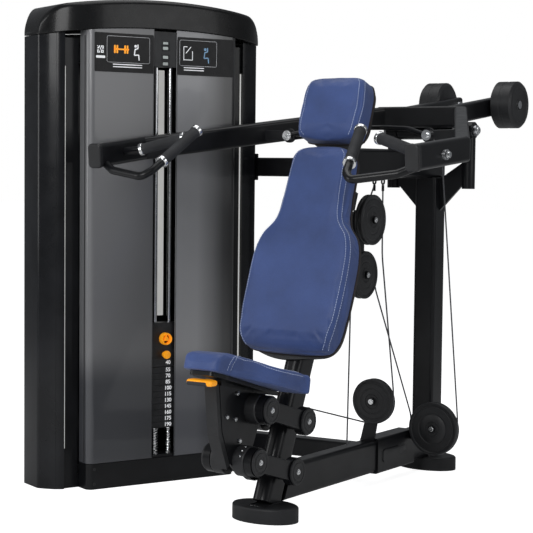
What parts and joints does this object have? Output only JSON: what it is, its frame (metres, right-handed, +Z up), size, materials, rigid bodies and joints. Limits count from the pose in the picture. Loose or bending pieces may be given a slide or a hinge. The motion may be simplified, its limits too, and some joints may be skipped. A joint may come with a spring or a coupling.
{
  "type": "shoulder press machine",
  "caption": "Selectorised shoulder press machine: weight-stack tower beside a padded seat and back rest, with pivoting press arms, rear counterweights and cable pulleys",
  "frame": {"origin": "on the floor at the middle of the front foot, in the mid-plane of the seat", "axes": "+Z up, the user faces -Y, +X is to the user's left, and the weight tower stands on the -X side"},
  "size_m": [1.6284, 1.8397, 1.634],
  "materials": {
    "frame_black": "satin powder coat",
    "plated_steel": "bright plating",
    "dark_plastic": "satin",
    "gloss_black": "gloss",
    "grip_rubber": "fine ribbed",
    "blue_leather": "upholstery grain, pale double stitching",
    "board_black": "textured",
    "orange_plastic": "gloss",
    "cable_grey": "coated steel cable",
    "plate_iron": "painted",
    "tinted_panel": "smoked translucent sheet"
  },
  "bodies": {
    "frame": {"back_cover": "frame_black", "back_pad": "blue_leather", "base_beam": "frame_black", "beam_sleeve": "frame_black", "display_module": "dark_plastic", "drive_cables": "cable_grey", "floor_cross_tube": "frame_black", "front_foot": "frame_black", "front_panels": "tinted_panel", "front_post": "frame_black", "guide_rods": "plated_steel", "headrest_pad": "blue_leather", "kick_panel": "frame_black", "pad_boards": "board_black", "pad_brackets": "frame_black", "pivot_posts": "frame_black", "pivot_shaft": "plated_steel", "pulley_brackets": "frame_black", "rear_axles": "plated_steel", "rear_column": "frame_black", "rear_foot": "frame_black", "rear_hub_covers": "dark_plastic", "stack_springs": "plated_steel", "top_beam": "frame_black", "top_cap": "gloss_black", "tower_cross_members": "frame_black", "tower_crossbeam": "frame_black", "tower_pillars": "frame_black", "tower_uprights": "frame_black", "weight_plates": "plate_iron"},
    "press_arms": {"arm_yoke": "frame_black", "arm_left": "frame_black", "arm_right": "frame_black", "arm_end_caps": "dark_plastic", "handle_tubes": "plated_steel", "hand_grips": "grip_rubber", "grip_rings": "plated_steel", "counterweights": "dark_plastic", "tie_bar": "frame_black", "tie_rods": "plated_steel", "tie_brackets": "frame_black", "arm_bolts": "plated_steel"},
    "upper_link_pair": {"upper_links": "frame_black"},
    "lower_link_pair": {"lower_links": "frame_black"},
    "seat_carriage": {"front_hub_covers": "dark_plastic", "carriage_barrels": "dark_plastic", "seat_side_plates": "frame_black", "seat_strap": "dark_plastic", "carriage_pins": "plated_steel", "seat_pad": "blue_leather", "seat_pan": "frame_black", "lock_cylinder": "plated_steel"},
    "seat_lever": {"seat_lever": "orange_plastic"},
    "stack_head": {"stack_head": "frame_black"},
    "increment_dial": {"increment_dial": "orange_plastic"},
    "selector_pin": {"selector_pin": "orange_plastic"},
    "upper_pulley": {"upper_pulley": "dark_plastic"},
    "lower_pulley": {"lower_pulley": "dark_plastic"},
    "bracket_pulley": {"bracket_pulley": "dark_plastic"},
    "floor_pulley": {"floor_pulley": "dark_plastic"}
  },
  "joints": [
    {"name": "arm_press", "type": "hinge", "parent": "frame", "child": "press_arms", "pos_m": [0, 1.058, 1.216], "axis": [-1, 0, 0], "range_deg": [0, 25]},
    {"name": "stack_lift", "type": "slide", "parent": "frame", "child": "stack_head", "axis": [0, 0, 1], "range_m": [0, 0.27]},
    {"name": "pin_pull", "type": "slide", "parent": "stack_head", "child": "selector_pin", "axis": [0.9171, -0.3987, 0], "range_m": [0, 0.045]},
    {"name": "dial_turn", "type": "hinge", "parent": "stack_head", "child": "increment_dial", "pos_m": [-0.61055, 0.2894, 0.492], "axis": [0.9171, -0.3987, 0], "range_deg": [0, 120]},
    {"name": "seat_lift", "type": "hinge", "parent": "frame", "child": "upper_link_pair", "pos_m": [0, 0.1, 0.298], "axis": [-1, 0, 0], "range_deg": [-13, 27]},
    {"name": "lower_link_swing", "type": "hinge", "parent": "frame", "child": "lower_link_pair", "pos_m": [0, 0.04, 0.15], "axis": [-1, 0, 0], "range_deg": [-13, 27]},
    {"name": "carriage_pivot", "type": "hinge", "parent": "upper_link_pair", "child": "seat_carriage", "pos_m": [0, -0.10859, 0.35781], "axis": [-1, 0, 0], "range_deg": [-27, 13]},
    {"name": "seat_release", "type": "hinge", "parent": "seat_carriage", "child": "seat_lever", "pos_m": [0, -0.306, 0.459], "axis": [-1, 0, 0], "range_deg": [0, 10], "stiffness_Nm_per_rad": 2},
    {"name": "upper_pulley_turn", "type": "hinge", "parent": "frame", "child": "upper_pulley", "pos_m": [0.03, 0.575, 0.908], "axis": [1, 0, 0], "continuous": true},
    {"name": "lower_pulley_turn", "type": "hinge", "parent": "frame", "child": "lower_pulley", "pos_m": [-0.006, 0.592, 0.722], "axis": [1, 0, 0], "continuous": true},
    {"name": "bracket_pulley_turn", "type": "hinge", "parent": "frame", "child": "bracket_pulley", "pos_m": [0.03, 0.615, 0.296], "axis": [0, 1, 0], "continuous": true},
    {"name": "floor_pulley_turn", "type": "hinge", "parent": "frame", "child": "floor_pulley", "pos_m": [0.131, 0.862, 0.18], "axis": [0, 1, 0], "continuous": true}
  ],
  "couplings": [
    {"joint": "stack_lift", "follows": "arm_press", "m_per_rad": 0.6},
    {"joint": "lower_link_swing", "follows": "seat_lift", "ratio": 1},
    {"joint": "carriage_pivot", "follows": "seat_lift", "ratio": -1},
    {"joint": "upper_pulley_turn", "follows": "arm_press", "ratio": -5.95},
    {"joint": "lower_pulley_turn", "follows": "arm_press", "ratio": 6.25},
    {"joint": "bracket_pulley_turn", "follows": "arm_press", "ratio": 6.58},
    {"joint": "floor_pulley_turn", "follows": "arm_press", "ratio": 5.43}
  ]
}
